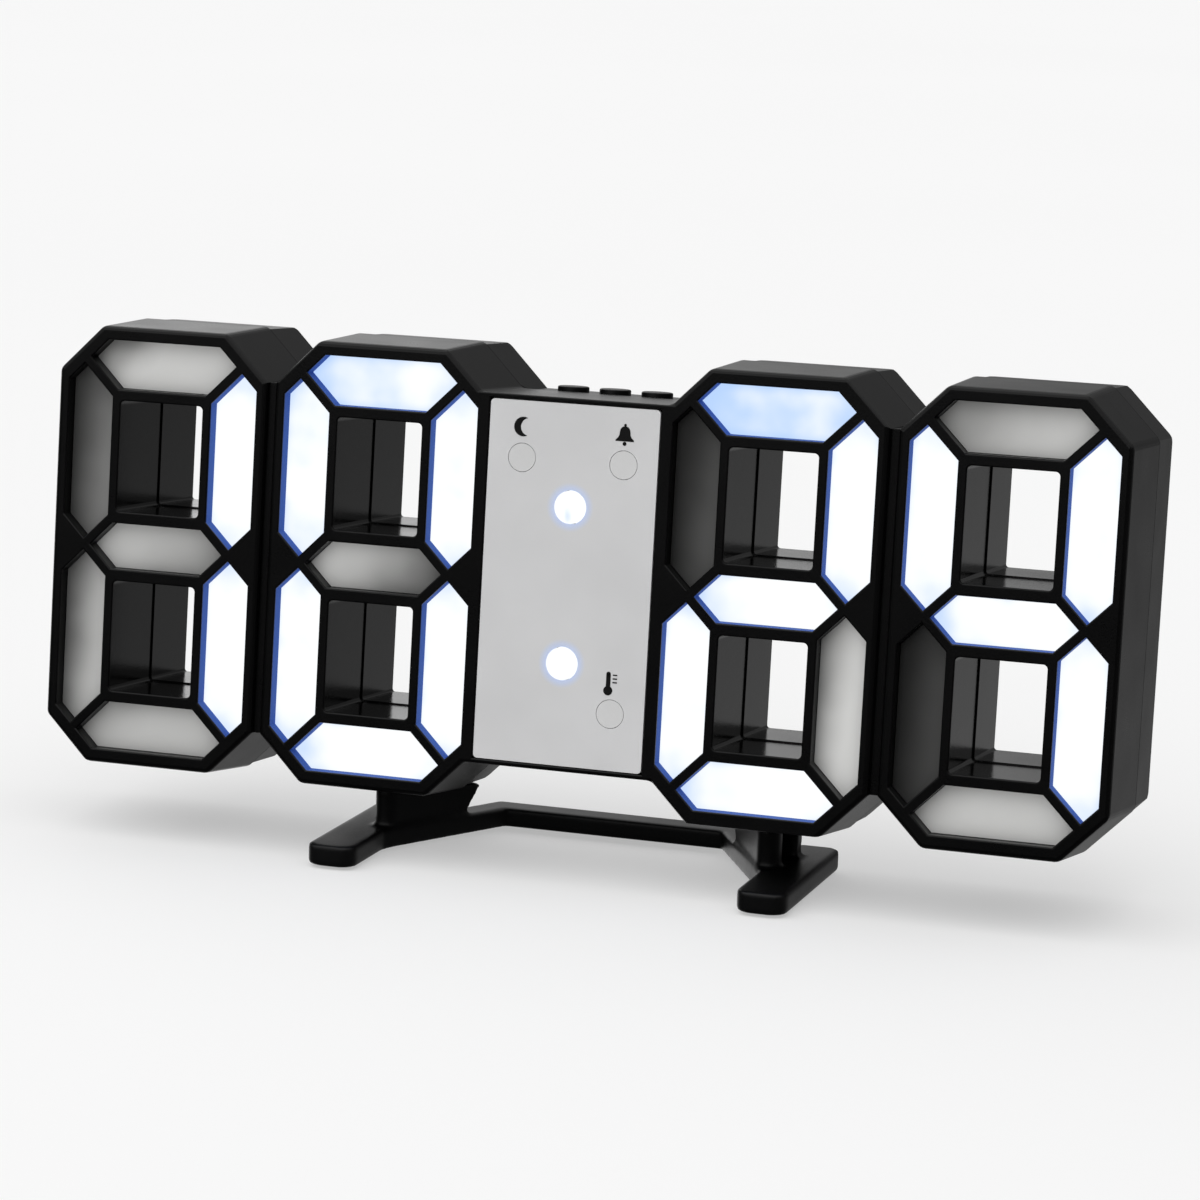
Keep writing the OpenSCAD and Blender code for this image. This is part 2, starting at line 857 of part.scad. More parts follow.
module button_left() { button(-1); }
module button_middle() { button(0); }
module button_right() { button(1); }

module housing_screws() {
  color(steel)
    leaned()
      at_screws()
        difference() {
          union() {
            rod(screw_d, head_y - screw_l, head_y);
            rod(screw_head, head_y, head_y + 1.6);
          }
          slab(head_y + 0.7, head_y + 2) {
            square([2.4, 0.6], center = true);
            square([0.6, 2.4], center = true);
          }
        }
}

module board_screws() {
  color(steel)
    leaned()
      at_posts()
        difference() {
          union() {
            rod(bscrew_d, board_y - bscrew_l, board_y + board_t);
            rod(bscrew_head, board_y + board_t, board_y + board_t + bscrew_cap);
          }
          slab(board_y + board_t + bscrew_cap / 2, board_y + board_t + bscrew_cap + 1) {
            square([bscrew_head * 0.58, 0.5], center = true);
            square([0.5, bscrew_head * 0.58], center = true);
          }
        }
}

// the room that the body takes over the stand, as a drawing in x and z
module under_2d() {
  h = half_h + 0.3;
  b = block_top + 0.4;
  x0 = inner_x - digit_w / 2 + corner_cut - draft - 1;
  polygon([[-90, 60], [-90, -h], [-x0, -h], [-x0 + h - b, -b], [x0 - h + b, -b], [x0, -h], [90, -h], [90, 60]]);
}

function across(p) = [-p[0], p[1]];

// the bent bar: an arm runs in from each foot to the straight bar behind the body
module stand_bar() {
  along = [-arm_dx, arm_dy] / arm_l;
  out = [arm_dy, arm_dx] / arm_l * bar_d / 2;
  start = [foot_x - 3, 8] - 5 * along;
  bend = [bar_half, bar_front + bar_d / 2];
  mitre = (out + [0, bar_d / 2]) / (1 + arm_dx / arm_l);
  translate([0, 0, bar_z])
    linear_extrude(height = bar_h)
      polygon([start + out, bend + mitre, across(bend + mitre), across(start + out),
        across(start - out), across(bend - mitre), bend - mitre, start - out]);
}

// one side of the stand, before the body is cut out of it
module stand_side() {
  // foot
  translate([foot_x, foot_front + foot_l / 2, foot_z])
    linear_extrude(height = foot_h)
      round_rect(foot_w, foot_l, foot_r);
  // web along the arm with a round front end, longer at the top
  translate([foot_x - 3, 8, bar_z])
    rotate([0, 0, 90 + atan2(arm_dx, arm_dy)]) {
      translate([web_from, web_t / 2, 0])
        rotate([90, 0, 0])
          linear_extrude(height = web_t)
            polygon([[0, 1], [arm_l * 0.5, 1], [arm_l * 0.8, bar_h + 12], [arm_l * 0.8, 40], [0, 40]]);
      translate([web_from, 0, 1])
        cylinder(d = web_t, h = 39);
    }
}

module stand() {
  color(black)
    difference() {
      union() {
        translate([0, body_y, 0])
          for (s = [0, 1])
            mirror([s, 0, 0])
              stand_side();
        translate([0, body_y, 0])
          stand_bar();
        leaned()
          for (s = [-1, 1])
            translate([s * tongue_x - tongue_w / 2, tongue_y - tongue_t / 2, -half_h - 9])
              cube([tongue_w, tongue_t, 11]);
      }
      leaned()
        slab(-20, 60)
          under_2d();
      at_pads()
        cylinder(d = pad_d + 0.2, h = pad_t);
    }
  color(black)
    leaned()
      for (s = [-1, 1])
        translate([s * tongue_x - tongue_w / 2, tongue_y - tongue_t / 2, -half_h - 2])
          cube([tongue_w, tongue_t, tongue_l + 1.5]);
}

module at_pads() {
  for (s = [-1, 1])
    for (y = [foot_front + 6, foot_front + foot_l - 6])
      translate([s * foot_x, body_y + y, 0])
        children();
}

module foot_pads() {
  color([0.12, 0.12, 0.12])
    at_pads()
      cylinder(d = pad_d, h = pad_t);
}

front_housing();
rear_cover();
centre_panel();
colon_lenses();
indicator_lenses();
digit1_lens_top();
digit1_lens_upper_right();
digit1_lens_lower_right();
digit1_lens_bottom();
digit1_lens_lower_left();
digit1_lens_upper_left();
digit1_lens_middle();
digit2_lens_top();
digit2_lens_upper_right();
digit2_lens_lower_right();
digit2_lens_bottom();
digit2_lens_lower_left();
digit2_lens_upper_left();
digit2_lens_middle();
digit3_lens_top();
digit3_lens_upper_right();
digit3_lens_lower_right();
digit3_lens_bottom();
digit3_lens_lower_left();
digit3_lens_upper_left();
digit3_lens_middle();
digit4_lens_top();
digit4_lens_upper_right();
digit4_lens_lower_right();
digit4_lens_bottom();
digit4_lens_lower_left();
digit4_lens_upper_left();
digit4_lens_middle();
led_board();
leds();
controller_chip();
crystal();
buzzer();
temperature_sensor();
power_socket();
cell_holder();
coin_cell();
cell_door();
key_board();
key_switches();
key_plunger_left();
key_plunger_middle();
key_plunger_right();
button_left();
button_middle();
button_right();
housing_screws();
board_screws();
stand();
foot_pads();
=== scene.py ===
# %% [markdown]
# # A clock whose digits are boxes of light
# Four figure-eight boxes stand in a row with a pale panel between them, and the row leans back on a low
# stand. The solid parts come from the CAD frame. This lesson gives them their finishes, softens their
# moulded edges, adds the printed signs on the panel, and sets up floor, light and camera.

# %% Load the frame
import math

import bmesh
import bpy
from mathutils import Matrix, Vector


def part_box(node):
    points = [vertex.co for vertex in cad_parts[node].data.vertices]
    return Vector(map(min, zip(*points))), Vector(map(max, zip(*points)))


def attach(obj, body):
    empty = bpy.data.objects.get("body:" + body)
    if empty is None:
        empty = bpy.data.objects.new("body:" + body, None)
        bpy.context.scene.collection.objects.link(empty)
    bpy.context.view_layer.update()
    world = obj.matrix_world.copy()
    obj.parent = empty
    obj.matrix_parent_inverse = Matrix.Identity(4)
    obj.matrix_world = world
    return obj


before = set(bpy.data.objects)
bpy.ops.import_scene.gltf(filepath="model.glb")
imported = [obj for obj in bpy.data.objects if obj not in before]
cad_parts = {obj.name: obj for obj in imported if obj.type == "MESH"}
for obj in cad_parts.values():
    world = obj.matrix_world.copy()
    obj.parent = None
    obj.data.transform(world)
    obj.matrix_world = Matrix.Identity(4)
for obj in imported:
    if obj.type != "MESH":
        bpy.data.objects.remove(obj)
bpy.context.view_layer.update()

# %% [markdown]
# The row of digits leans back by five degrees. It is easier to place a thing in the row's own upright axes,
# in millimetres from the middle of its front face, and to turn it afterwards. One matrix does that for
# points, and three directions serve the finishes, so no other step has to think about the lean. Where each
# digit stands is read from its top lens, so it follows the frame. Sizes of pieces are in millimetres all
# through this file, and the lumps and depths of a finish are in metres, as the shader counts them.

# %% The leaning axes
MM = 0.001
LEAN_TURN = Matrix.Rotation(math.radians(-5), 4, "X")
ROW_MIDDLE = Vector((0, -14.75, 57.93)) * MM
LEAN_PLACE = Matrix.Translation(ROW_MIDDLE) @ LEAN_TURN
ACROSS = Vector((1, 0, 0))
INWARD = LEAN_TURN @ Vector((0, 1, 0))
UPRIGHT = LEAN_TURN @ Vector((0, 0, 1))

DIGITS = (1, 2, 3, 4)
DIGIT_X = {}
for digit in DIGITS:
    low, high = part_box(f"digit{digit}_lens_top")
    DIGIT_X[digit] = (low.x + high.x) / 2 / MM
print("digits stand at", [round(x, 3) for x in DIGIT_X.values()], "mm")

# %% [markdown]
# The camera stands to the right of the clock and a little above it, with a long lens. The picture is
# square, so the sensor is taken as 36 mm both ways. A camera could be aimed with a Track To constraint, but
# this one is rolled by a degree and a half, so its three axes are written out and put into its matrix. The
# roll is why the row runs downhill in the picture more than the view alone would make it.

# %% Camera
LOOK = Vector((-0.30732, 0.93313, -0.18657)).normalized()
SIDE = Vector((0.94788, 0.31753, 0.02673)).normalized()
RISE = SIDE.cross(LOOK).normalized()
CAMERA_PLACE = (0.25735, -0.77495, 0.20775)

camera_data = bpy.data.cameras.new("photo_camera")
camera_data.lens = 128.44
camera_data.sensor_width = 36
camera_data.sensor_fit = "HORIZONTAL"
camera_data.clip_start = 0.01
camera_data.clip_end = 60
camera = bpy.data.objects.new("photo_camera", camera_data)
bpy.context.scene.collection.objects.link(camera)
turn = Matrix((SIDE, RISE, -LOOK)).transposed().to_4x4()
camera.matrix_world = Matrix.Translation(CAMERA_PLACE) @ turn
bpy.context.scene.camera = camera
bpy.context.scene.view_settings.view_transform = "Standard"
print("camera up is", [round(v, 3) for v in RISE])

# %% [markdown]
# Shader graphs are long to write node by node. A small class holds one output socket, and its operators add
# Math nodes, so that a mask can be written as a sum. The reflected forms are there too, so that `1 - mask`
# works.

# %% Sockets that can be summed
class Flow:
    """One output socket of a finish, with the operators that the finishes use."""

    def __init__(self, finish, socket):
        self.finish = finish
        self.socket = socket

    def math(self, operation, a, b=0.0):
        return self.finish.add("ShaderNodeMath", {"operation": operation}, {0: a, 1: b})

    def __add__(self, other):
        return self.math("ADD", self, other)

    def __sub__(self, other):
        return self.math("SUBTRACT", self, other)

    def __rsub__(self, other):
        return self.math("SUBTRACT", other, self)

    def __mul__(self, other):
        return self.math("MULTIPLY", self, other)

    def __pow__(self, other):
        return self.math("POWER", self, other)

    def __abs__(self):
        return self.math("ABSOLUTE", self)

    def most(self, other):
        return self.math("MAXIMUM", self, other)

    def least(self, other):
        return self.math("MINIMUM", self, other)

    def above(self, limit):
        """1 above the limit and 0 up to it."""
        return self.math("GREATER_THAN", self, limit)

    def ease(self, low, high):
        """0 below low and 1 above high, with a soft step between."""
        return self.finish.add(
            "ShaderNodeMapRange",
            {"interpolation_type": "SMOOTHSTEP"},
            {"Value": self, "From Min": low, "From Max": high},
        )

    __radd__ = __add__
    __rmul__ = __mul__


print("socket class ready")

# %% [markdown]
# Every other node comes from one method, `add`, which sets the node's own settings first and then its
# sockets, by name or by number. A finish is a material with its Principled shader, and the sky and the edge
# picker further down use the same class on their own node trees.

# %% Finishes
class Finish:
    """A material, or another node tree, and the one method that adds nodes to it."""

    def __init__(self, name, tree=None):
        self.tree = tree
        if tree is None:
            self.material = bpy.data.materials.new(name)
            self.material.use_nodes = True
            self.tree = self.material.node_tree
            self.shader = self.tree.nodes["Principled BSDF"]

    def add(self, kind, settings=None, sockets=None, out=0):
        node = self.tree.nodes.new(kind)
        for name, value in (settings or {}).items():
            setattr(node, name, value)
        for name, value in (sockets or {}).items():
            self.feed(node.inputs[name], value)
        return Flow(self, node.outputs[out])

    def feed(self, socket, value):
        if isinstance(value, Flow):
            self.tree.links.new(value.socket, socket)
        else:
            socket.default_value = value

    def set(self, **values):
        """Sets or links sockets of the finish's own shader."""
        for name, value in values.items():
            self.feed(self.shader.inputs[name.replace("_", " ")], value)

    def place(self):
        return self.add("ShaderNodeTexCoord", out="Object")

    def along(self, direction, middle, point=None):
        """Metres from a middle along a direction, over the surface or at a given point."""
        away = self.add(
            "ShaderNodeVectorMath", {"operation": "SUBTRACT"}, {0: point or self.place(), 1: tuple(middle)}
        )
        return self.add(
            "ShaderNodeVectorMath", {"operation": "DOT_PRODUCT"}, {0: away, 1: tuple(direction)}, out="Value"
        )

    def noise(self, size, detail=2.0, roughness=0.5):
        """A cloud between 0 and 1 whose lumps are about size metres wide."""
        return self.add(
            "ShaderNodeTexNoise",
            {"noise_dimensions": "3D"},
            {"Vector": self.place(), "Scale": 1 / size, "Detail": detail, "Roughness": roughness},
        )

    def blend(self, share, first, second):
        return self.add("ShaderNodeMix", {"data_type": "RGBA"}, {0: share, 6: first, 7: second}, out=2)

    def grain(self, height, depth, strength):
        """A bump from a height between 0 and 1, depth metres tall."""
        self.set(
            Normal=self.add(
                "ShaderNodeBump", None, {"Strength": strength, "Distance": depth, "Height": height}
            )
        )


print("finish class ready")

# %% [markdown]
# Two short helpers are used from here on. One writes a colour in full, and one puts a finish on a part of
# the frame, in place of the plain one that it came with.

# %% Colours and dressing
def colour(r, g, b):
    return (r, g, b, 1.0)


def dress(node, finish):
    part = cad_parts[node]
    part.data.materials.clear()
    part.data.materials.append(finish.material)


print("helpers ready")

# %% [markdown]
# The clock shows twenty-four minutes past ten. Each digit has seven bars, and a small table says which of
# them are lit. It is needed first for the case, because lit lenses tint the walls of their pockets blue.

# %% Which bars are lit
UPRIGHT_BARS = ("upper_right", "lower_right", "lower_left", "upper_left")
BARS = ("top", "middle", "bottom", *UPRIGHT_BARS)
LIT = {
    1: ("upper_right", "lower_right"),
    2: ("top", "upper_right", "lower_right", "bottom", "lower_left", "upper_left"),
    3: ("top", "upper_right", "middle", "lower_left", "bottom"),
    4: ("upper_left", "middle", "upper_right", "lower_right"),
}
print(sum(len(bars) for bars in LIT.values()), "bars lit")

# %% [markdown]
# The light of a lens spills onto the black walls of its pocket. A lamp in every pocket would show that too,
# but here the spill is painted into the colour of the wall. The ribs between a digit's pockets
# lie on a few slanted lines, so sums of the distances from the digit's middle tell which pocket a point
# belongs to. One mask is 1 on the pocket walls of lit bars, and the other is 1 in the windows, whose walls
# are polished. Both are 0 everywhere else.

# %% Masks of the digits
# millimetres from the digit's middle or from the front face; a mask fades between the two of a pair
CENTRE_LINE = (-0.1, 0.1)
END_RIBS = (20.0, 20.5)
MIDDLE_RIBS = (15.1, 15.6)
WINDOW_SIDE, WINDOW_FOOT, WINDOW_HEAD = (9.2, 9.7), (5.9, 6.4), (29.3, 29.8)
POCKET_SIDE, POCKET_HEAD, POCKET_CORNER = (20.2, 20.7), (40.8, 41.3), (53.0, 53.6)
SPILL_FRONT, SPILL_REAR, WINDOW_FRONT = (0.1, 0.5), (3.2, 3.6), (0.3, 0.8)


def digit_masks(finish):
    """The masks of spilt light and of windows, and the depth behind the front face."""
    across, up, deep = (finish.along(way, ROW_MIDDLE) * (1 / MM) for way in (ACROSS, UPRIGHT, INWARD))
    tall = abs(up)
    upper = up.ease(*CENTRE_LINE)
    spills, windows = 0.0, 0.0
    for digit, middle in DIGIT_X.items():
        side = across - middle
        wide = abs(side)
        right = side.ease(*CENTRE_LINE)
        ends = (tall - wide).ease(*END_RIBS)
        core = 1 - (wide + tall).ease(*MIDDLE_RIBS)
        post = (1 - ends) * (1 - core)
        pockets = {
            "top": ends * upper,
            "bottom": ends * (1 - upper),
            "middle": core,
            "upper_right": post * right * upper,
            "lower_right": post * right * (1 - upper),
            "lower_left": post * (1 - right) * (1 - upper),
            "upper_left": post * (1 - right) * upper,
        }
        window = (1 - wide.ease(*WINDOW_SIDE)) * tall.ease(*WINDOW_FOOT) * (1 - tall.ease(*WINDOW_HEAD))
        inside = (1 - wide.ease(*POCKET_SIDE)) * (1 - tall.ease(*POCKET_HEAD))
        inside = inside * (1 - (wide + tall).ease(*POCKET_CORNER))
        lit = sum(pockets[bar] for bar in LIT[digit])
        spills = lit * inside * (1 - window) + spills
        windows = window + windows
    spills = spills * deep.ease(*SPILL_FRONT) * (1 - deep.ease(*SPILL_REAR))
    return spills, windows * deep.ease(*WINDOW_FRONT), deep


print("digit masks ready")

# %% [markdown]
# The case is black ABS from a spark-eroded mould: satin, with a grain of about a third of a millimetre that
# breaks up reflections. A cloud a centimetre wide moves the roughness a little, as handling does, and
# specks of dust lift the black. The stand is the same plastic from another mould with a coarser grain, and
# it looks a shade lighter. On the housings the seam is a fine dull line, the windows are polished, and the
# walls where light spills are dull. One function makes all of these blacks, so they stay a family.

# %% Black moulded plastic
HANDLING, DUST = 0.011, 0.0016
DUST_FADE = (0.60, 0.78)
DUSTY = 2.2
GRAIN_DEPTH, GRAIN_STRENGTH = 0.00006, 0.35
SPILL = colour(0.040, 0.110, 0.42)
SEAM_DEPTH, SEAM_FADE = 20.0, (0.15, 0.30)
SEAM_DULL, SPILL_DULL, WINDOW_POLISH = 0.5, 0.5, 0.18


def moulded(name, shade, rough, grain_size, spread, digits=False, gloss=0.22):
    """Black plastic whose roughness drifts by spread about rough."""
    finish = Finish(name)
    grain = finish.noise(grain_size, 3.0, 0.6)
    cloud = finish.noise(HANDLING, 2.0)
    dust = finish.noise(DUST, 4.0, 0.7).ease(*DUST_FADE)
    black = finish.blend(cloud * 0.5 + dust * 0.35, colour(*shade), colour(*(DUSTY * v for v in shade)))
    roughness = rough - 0.5 * spread + cloud * spread + grain * 0.08
    if digits:
        spills, windows, deep = digit_masks(finish)
        # painted light: the blue glow that lit lenses throw on their pocket walls is laid into the walls'
        # base colour
        black = finish.blend(spills, black, SPILL)
        seam = 1 - abs(deep - SEAM_DEPTH).ease(*SEAM_FADE)
        dull = seam * (1 - windows) * SEAM_DULL + spills * SPILL_DULL
        roughness = roughness + dull - windows * WINDOW_POLISH
    finish.set(Base_Color=black, Roughness=roughness, Specular_IOR_Level=gloss)
    finish.grain(grain, GRAIN_DEPTH, GRAIN_STRENGTH)
    return finish


CASE = moulded("case_black", (0.0010, 0.0010, 0.0011), 0.26, 0.00036, 0.10, digits=True)
COVER = moulded("cover_black", (0.0014, 0.0014, 0.0015), 0.30, 0.00036, 0.10, digits=True, gloss=0.27)
STAND = moulded("stand_black", (0.0022, 0.0022, 0.0024), 0.34, 0.00050, 0.12)
KEY = moulded("key_black", (0.0016, 0.0016, 0.0017), 0.34, 0.00026, 0.08)
HOLDER = moulded("holder_black", (0.006, 0.006, 0.006), 0.46, 0.00040, 0.10)
for finish, nodes in (
    (CASE, ("front_housing",)),
    (COVER, ("rear_cover", "cell_door")),
    (STAND, ("stand",)),
    (KEY, ("button_left", "button_middle", "button_right")),
    (HOLDER, ("cell_holder", "buzzer", "key_plunger_left", "key_plunger_middle", "key_plunger_right")),
):
    for node in nodes:
        dress(node, finish)
print("five black mouldings")

# %% [markdown]
# The lenses are milky plastic with lamps behind them. A lit lens looks plain white over its lamps, and goes
# to a pale blue where the lamps are far: at its ends, along its rim and in soft clouds. Bars that lie flat
# are bluer at their left end. An area lamp could light each lens from behind, but an emission whose colour
# goes from white to blue gives the same picture. The strength is one number.

# %% Lit lenses
GLOW = 1.0
HOT = colour(0.98, 1.00, 1.00)
COOL = colour(0.48, 0.66, 0.97)
LENS_BODY = colour(0.05, 0.05, 0.055)
LENS_ROUGH, LENS_DRIFT = 0.28, 0.08
LENS_CLOUD = 0.0065
# where blue sets in, in half lengths and half widths from the middle, and how much each cause counts
END_FADE, END_BLUE = (0.45, 1.05), 0.36
RIM_FADE, RIM_BLUE = (0.55, 1.10), 0.22
CLOUD_BLUE = 0.6
BLUE_FADE = (0.10, 0.85)


def lit_lens(name, middle, direction, half_length, half_width, coolness, tilt):
    """A glowing lens; coolness makes all of it bluer, and tilt the end that direction points away from."""
    finish = Finish(name)
    along = finish.along(direction, middle) * (1 / half_length)
    rim = abs(finish.along(direction.cross(INWARD), middle)) * (1 / half_width)
    cloud = finish.noise(LENS_CLOUD, 1.5)
    far = abs(along).ease(*END_FADE) * END_BLUE + rim.ease(*RIM_FADE) * RIM_BLUE
    far = far + (cloud - 0.5) * CLOUD_BLUE - along * tilt
    finish.set(
        Base_Color=LENS_BODY,
        Roughness=LENS_ROUGH + cloud * LENS_DRIFT,
        Emission_Color=finish.blend((far + coolness).ease(*BLUE_FADE), HOT, COOL),
        Emission_Strength=GLOW,
    )
    return finish


print("lit lens finish ready")

# %% [markdown]
# An unlit lens is the same milky plastic with nothing behind it. It is clear enough to show the dark well
# that it covers. Real depth would need a see-through shader, which renders slowly, so the shade of the
# well is painted into the lens's colour as a change of tone. Most lenses are painted darkest along the wall
# on the left and at the top, and pale where room light fills the well. Each has a left and a right tone of
# its own.

# %% Unlit lenses
MILK_CLOUD, MILK_GRAIN, MILK_DEPTH = 0.009, 0.0009, 0.00003
TOP_SHADE = 0.35
WARMTH = 0.98


def unlit_lens(name, middle, half_x, half_z, left, right, start, stop):
    """A milky lens with painted shade, whose tone goes from left to right, between start and stop in half
    widths.
    """
    finish = Finish(name)
    sideways = finish.along(ACROSS, middle) * (1 / half_x)
    up = finish.along(UPRIGHT, middle) * (1 / half_z)
    cloud = finish.noise(MILK_CLOUD, 1.0)
    # painted shade: darker towards the left and the top of each lens, with a cloud in the edge
    share = (sideways - up * TOP_SHADE + (cloud - 0.5) * 0.5).ease(start, stop)
    dark, pale = (colour(tone, tone, WARMTH * tone) for tone in (left, right))
    finish.set(
        Base_Color=finish.blend(share, dark, pale),
        Roughness=0.30 + cloud * 0.10,
        Specular_IOR_Level=0.30,
    )
    finish.grain(finish.noise(MILK_GRAIN, 2.0), MILK_DEPTH, 0.15)
    return finish


print("unlit lens finish ready")

# %% [markdown]
# Now every lens gets its finish. Each is a part of its own, and its length and width come from its own box,
# so the pattern sits right on every lens without a number for it here.

# %% Dress the lenses
# the lit bars whose lamps sit low, so that more of the lens is pale blue, and the share for all others
COOLER = {(2, "top"): 0.36, (3, "top"): 0.52, (2, "upper_left"): 0.16}
COOL_SHARE = 0.10
LEFT_TILT = 0.16
# painted shade of the unlit lenses: left tone, right tone, and where the change starts and stops
PAINTED_TONES = {
    (1, "top"): (0.24, 0.76, -1.1, -0.2),
    (1, "middle"): (0.64, 0.34, -0.5, 1.2),
    (1, "bottom"): (0.32, 0.64, -1.5, 0.0),
    (1, "upper_left"): (0.055, 0.26, -0.9, 1.2),
    (1, "lower_left"): (0.13, 0.60, -1.1, 0.8),
    (2, "middle"): (0.70, 0.16, -0.7, 1.1),
    (3, "upper_left"): (0.020, 0.10, -0.9, 1.2),
    (3, "lower_right"): (0.22, 0.80, -1.3, 0.4),
    (4, "top"): (0.30, 0.72, -1.3, 0.8),
    (4, "bottom"): (0.36, 0.73, -1.7, -0.2),
    (4, "lower_left"): (0.016, 0.075, -0.9, 1.2),
}

for digit in DIGITS:
    for bar in BARS:
        node = f"digit{digit}_lens_{bar}"
        low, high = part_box(node)
        middle, half = (low + high) / 2, (high - low) / 2
        tall = bar in UPRIGHT_BARS
        if bar in LIT[digit]:
            coolness = COOLER.get((digit, bar), COOL_SHARE)
            length, width = (half.z, half.x) if tall else (half.x, half.z)
            lie, tilt = (UPRIGHT, 0.0) if tall else (ACROSS, LEFT_TILT)
            dress(node, lit_lens(f"lit_{node}", middle, lie, length, width, coolness, tilt))
        else:
            dress(node, unlit_lens(f"unlit_{node}", middle, half.x, half.z, *PAINTED_TONES[digit, bar]))
print(len(DIGITS) * len(BARS), "lenses dressed,", len(PAINTED_TONES), "of them unlit")

# %% [markdown]
# The two colon dots are round, and each has its lamp right behind it. So they have no blue ends: only a
# small cloud here and there goes from white to blue.

# %% Colon dots
DOT_CLOUD = 0.004
DOT_FADE = (0.12, 0.35)
colon = Finish("lit_colon")
colon_cloud = colon.noise(DOT_CLOUD, 1.0)
colon.set(
    Base_Color=LENS_BODY,
    Roughness=LENS_ROUGH + colon_cloud * LENS_DRIFT,
    Emission_Color=colon.blend((colon_cloud - 0.5).ease(*DOT_FADE), HOT, COOL),
    Emission_Strength=GLOW,
)
dress("colon_lenses", colon)
print("colon dots lit")

# %% [markdown]
# The panel is pale grey plastic with a fine, even grain, and the three round indicators are of the same
# grey and sit flush in it. They are off, so only their thin joint shows. Round the two lit dots a faint
# blue glow is painted into the sheet's colour, a ring by the distance from the nearer dot.

# %% Panel and indicators
DOT_UP = 15.0
# colour of the painted glow round the colon dots
PAINTED_GLOW = colour(0.56, 0.68, 1.0)
GLOW_RING_INNER, GLOW_RING_OUTER, GLOW_RING_SHARE = 3.1, 4.9, 0.7
SHEET_GRAIN, SHEET_CLOUD, SHEET_DEPTH = 0.00030, 0.018, 0.00004
CLOUD_FADE = (0.30, 0.75)


def pale_sheet(name, shade):
    finish = Finish(name)
    grain = finish.noise(SHEET_GRAIN, 3.0, 0.6)
    cloud = finish.noise(SHEET_CLOUD, 2.0)
    side = finish.along(ACROSS, ROW_MIDDLE) * (1 / MM)
    up = abs(finish.along(UPRIGHT, ROW_MIDDLE)) * (1 / MM) - DOT_UP
    # painted light: a ring of blue glow from the nearer colon dot, laid into the sheet's colour
    glow_ring = 1 - (side ** 2 + up ** 2).ease(GLOW_RING_INNER ** 2, GLOW_RING_OUTER ** 2)
    grey = finish.blend(cloud.ease(*CLOUD_FADE), colour(*shade), colour(*(0.94 * v for v in shade)))
    finish.set(
        Base_Color=finish.blend(glow_ring * GLOW_RING_SHARE, grey, PAINTED_GLOW),
        Roughness=0.46 + grain * 0.10,
        Specular_IOR_Level=0.35,
    )
    finish.grain(grain, SHEET_DEPTH, 0.25)
    return finish


dress("centre_panel", pale_sheet("panel_grey", (0.67, 0.67, 0.675)))
dress("indicator_lenses", pale_sheet("indicator_grey", (0.665, 0.665, 0.665)))
print("panel dressed")

# %% [markdown]
# Inside sit the circuit boards. They show only through the slots at the back and when the cell door is off.
# A board is green lacquer over copper tracks. Tracks could be drawn one by one, but two crossing wave
# textures, cut to thin lines, look the same from this far away.

# %% Board lacquer
board = Finish("board_green")


def tracks_along(axis, scale, low, high):
    """1 on thin winding lines that repeat along an axis."""
    wave = {"Vector": board.place(), "Scale": scale, "Distortion": 3.0, "Detail": 1.0, "Detail Scale": 40.0}
    return board.add("ShaderNodeTexWave", {"bands_direction": axis}, wave, out=1).ease(low, high)


tracks = tracks_along("X", 180.0, 0.80, 0.90).most(tracks_along("Z", 130.0, 0.84, 0.93))
board.set(
    Base_Color=board.blend(tracks, colour(0.010, 0.085, 0.032), colour(0.030, 0.170, 0.060)),
    Roughness=0.34 - tracks * 0.06,
    Coat_Weight=0.35,
)
board.grain(tracks, 0.00004, 0.6)
for node in ("led_board", "key_board"):
    dress(node, board)
print("boards dressed")

# %% [markdown]
# The small parts on the boards are of resin, epoxy, tinned and polished steel, the screws are zinc-plated,
# and the foot pads are soft rubber. Each of these is nearly one colour, so one function serves them all: a
# noise moves the colour between two near tones and the roughness with it.

# %% Resin, epoxy, metal and rubber
def plain_solid(name, shade, other, lump, rough, spread, metal=0.0, bump=0.0):
    """A solid whose colour and roughness drift between two tones, in lumps of a given size."""
    finish = Finish(name)
    drift = finish.noise(lump, 3.0, 0.6)
    finish.set(
        Base_Color=finish.blend(drift, colour(*shade), colour(*other)),
        Roughness=rough + drift * spread,
        Metallic=metal,
    )
    if bump:
        finish.grain(drift, bump, 0.4)
    return finish


RESIN = plain_solid("led_resin", (0.80, 0.74, 0.48), (0.86, 0.84, 0.72), 0.0012, 0.20, 0.12)
EPOXY = plain_solid(
    "chip_epoxy", (0.010, 0.010, 0.011), (0.022, 0.022, 0.024), 0.0004, 0.50, 0.20, bump=0.00002
)
TIN = plain_solid(
    "tinned_can", (0.62, 0.60, 0.56), (0.74, 0.73, 0.70), 0.0020, 0.22, 0.20, metal=1.0, bump=0.00001
)
STEEL = plain_solid("cell_steel", (0.68, 0.67, 0.65), (0.78, 0.77, 0.75), 0.0030, 0.16, 0.16, metal=1.0)
ZINC = plain_solid("screw_zinc", (0.20, 0.20, 0.21), (0.32, 0.32, 0.33), 0.0012, 0.26, 0.22, metal=1.0)
RUBBER = plain_solid(
    "pad_rubber", (0.016, 0.016, 0.017), (0.030, 0.030, 0.031), 0.0008, 0.72, 0.16, bump=0.00004
)
for finish, nodes in (
    (RESIN, ("leds",)),
    (EPOXY, ("controller_chip", "temperature_sensor", "key_switches")),
    (TIN, ("crystal", "power_socket")),
    (STEEL, ("coin_cell",)),
    (ZINC, ("housing_screws", "board_screws")),
    (RUBBER, ("foot_pads",)),
):
    for node in nodes:
        dress(node, finish)
print("all parts dressed")

